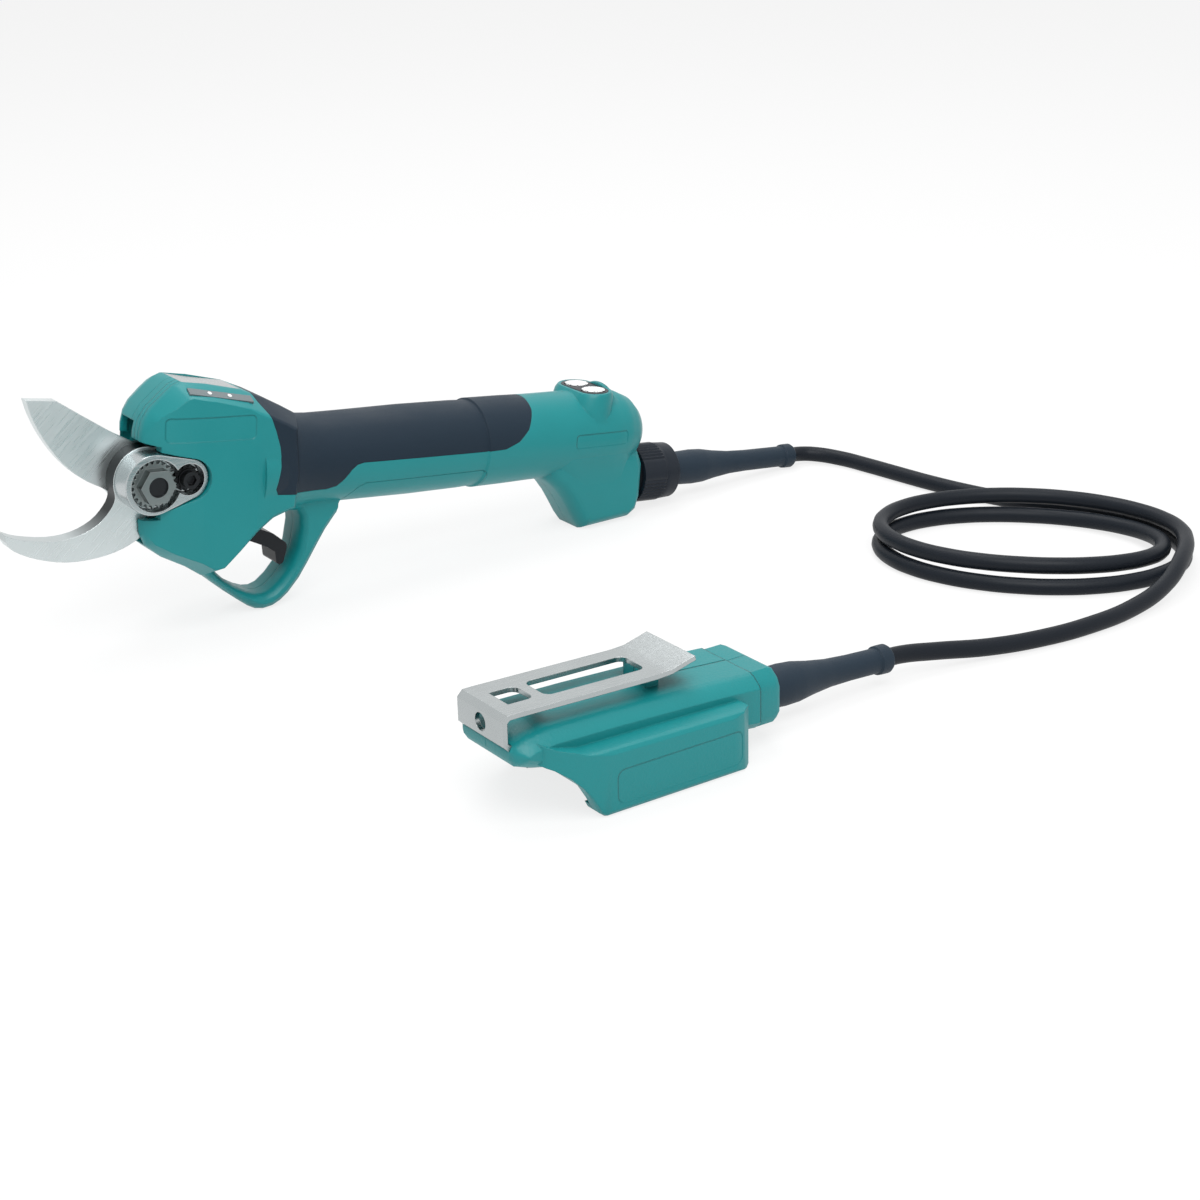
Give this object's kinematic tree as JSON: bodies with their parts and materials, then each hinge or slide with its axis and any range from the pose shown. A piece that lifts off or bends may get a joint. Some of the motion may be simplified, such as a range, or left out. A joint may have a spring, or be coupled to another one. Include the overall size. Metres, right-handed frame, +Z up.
{
  "type": "electric pruner",
  "caption": "Corded electric pruner: straight gripped handle, hooked bypass blades and trigger guard, with a coiled cord to a slide-on battery adapter that has a belt hook.",
  "frame": {"origin": "centre of the flat foot under the hand unit's rear housing, on the floor", "axes": "-X along the hand unit towards the blades, -Y towards the adapter (user's left), +Z up"},
  "size_m": [0.454, 0.2731, 0.1046],
  "materials": {
    "housing": "fine grained moulded nylon, teal",
    "grip": "soft moulded rubber, near black blue",
    "blade_steel": "ground tool steel",
    "cast_plate": "satin cast steel",
    "bright_sheet": "bright stainless sheet",
    "dark_steel": "dark satin steel",
    "black_steel": "black oxide",
    "copper": "bare metal",
    "board": "circuit board lacquer",
    "black_plastic": "moulded black plastic",
    "indicator": "grey plastic",
    "white_plastic": "white plastic",
    "boot_rubber": "moulded rubber",
    "cord_rubber": "smooth rubber sheath"
  },
  "bodies": {
    "hand_unit": {"left_housing": "housing", "right_housing": "housing", "left_grip": "grip", "right_grip": "grip", "lower_cover": "housing", "housing_screws": "dark_steel", "blade_frame": "cast_plate", "counter_blade": "blade_steel", "pivot_bolt": "black_steel", "toothed_nut": "dark_steel", "lock_pinion": "black_steel", "lock_screw": "black_steel", "screw_bearing": "dark_steel", "gear_unit": "black_steel", "motor_can": "black_steel", "stator": "copper", "control_board": "board", "board_capacitors": "black_plastic", "trigger_pin": "dark_steel", "trigger_spring": "dark_steel", "trigger_switch": "black_plastic", "button_board": "board", "top_plate": "bright_sheet", "indicator_strip": "indicator", "indicator_lenses": "white_plastic", "control_panel": "black_plastic", "cord_socket": "black_plastic", "plug": "black_plastic", "tool_boot": "boot_rubber", "cord_tool_side": "cord_rubber", "cord_coil": "cord_rubber", "cord_adapter_side": "cord_rubber", "adapter_boot": "boot_rubber", "adapter_left": "housing", "adapter_right": "housing", "adapter_end_cap": "housing", "belt_hook": "bright_sheet", "terminal_block": "black_plastic", "terminal_contacts": "copper", "adapter_screws": "dark_steel"},
    "moving_blade": {"cutting_blade": "blade_steel", "drive_pin": "dark_steel"},
    "screw_nut": {"ball_nut": "dark_steel"},
    "screw_shaft": {"ball_screw": "dark_steel"},
    "motor_rotor": {"rotor": "black_steel"},
    "trigger_lever": {"trigger": "black_plastic"},
    "power_key": {"power_button": "white_plastic"},
    "mode_key": {"mode_button": "white_plastic"},
    "coupling_ring": {"ring_nut": "black_plastic"}
  },
  "joints": [
    {"name": "blade_pivot", "type": "hinge", "parent": "hand_unit", "child": "moving_blade", "pos_m": [-0.21181, 0, 0.06608], "axis": [0, -1, 0], "range_deg": [0, 52]},
    {"name": "nut_slide", "type": "slide", "parent": "hand_unit", "child": "screw_nut", "axis": [-0.9934, 0, 0.1149], "range_m": [0, 0.01435]},
    {"name": "screw_spin", "type": "hinge", "parent": "hand_unit", "child": "screw_shaft", "pos_m": [-0.16214, 0, 0.06034], "axis": [0.9934, 0, -0.1149], "range_deg": [0, 1290.5]},
    {"name": "rotor_spin", "type": "hinge", "parent": "hand_unit", "child": "motor_rotor", "pos_m": [-0.0926, 0, 0.05229], "axis": [0.9934, 0, -0.1149], "range_deg": [0, 6452.3]},
    {"name": "trigger_pull", "type": "hinge", "parent": "hand_unit", "child": "trigger_lever", "pos_m": [-0.17592, 0, 0.04129], "axis": [0, -1, 0], "range_deg": [0, 10], "stiffness_Nm_per_rad": 0.6, "springref_deg": -5.73},
    {"name": "power_press", "type": "slide", "parent": "hand_unit", "child": "power_key", "axis": [-0.2689, 0, -0.9632], "range_m": [0, 0.001], "stiffness_N_per_m": 1500, "springref_m": -0.0005},
    {"name": "mode_press", "type": "slide", "parent": "hand_unit", "child": "mode_key", "axis": [-0.2689, 0, -0.9632], "range_m": [0, 0.001], "stiffness_N_per_m": 1500, "springref_m": -0.0005},
    {"name": "ring_turn", "type": "hinge", "parent": "hand_unit", "child": "coupling_ring", "pos_m": [0.03103, 0, 0.01584], "axis": [0.9934, 0, -0.1149], "range_deg": [0, 90]}
  ],
  "couplings": [
    {"joint": "nut_slide", "follows": "blade_pivot", "m_per_rad": 0.015786},
    {"joint": "screw_spin", "follows": "blade_pivot", "ratio": 24.797},
    {"joint": "rotor_spin", "follows": "blade_pivot", "ratio": 123.99}
  ]
}
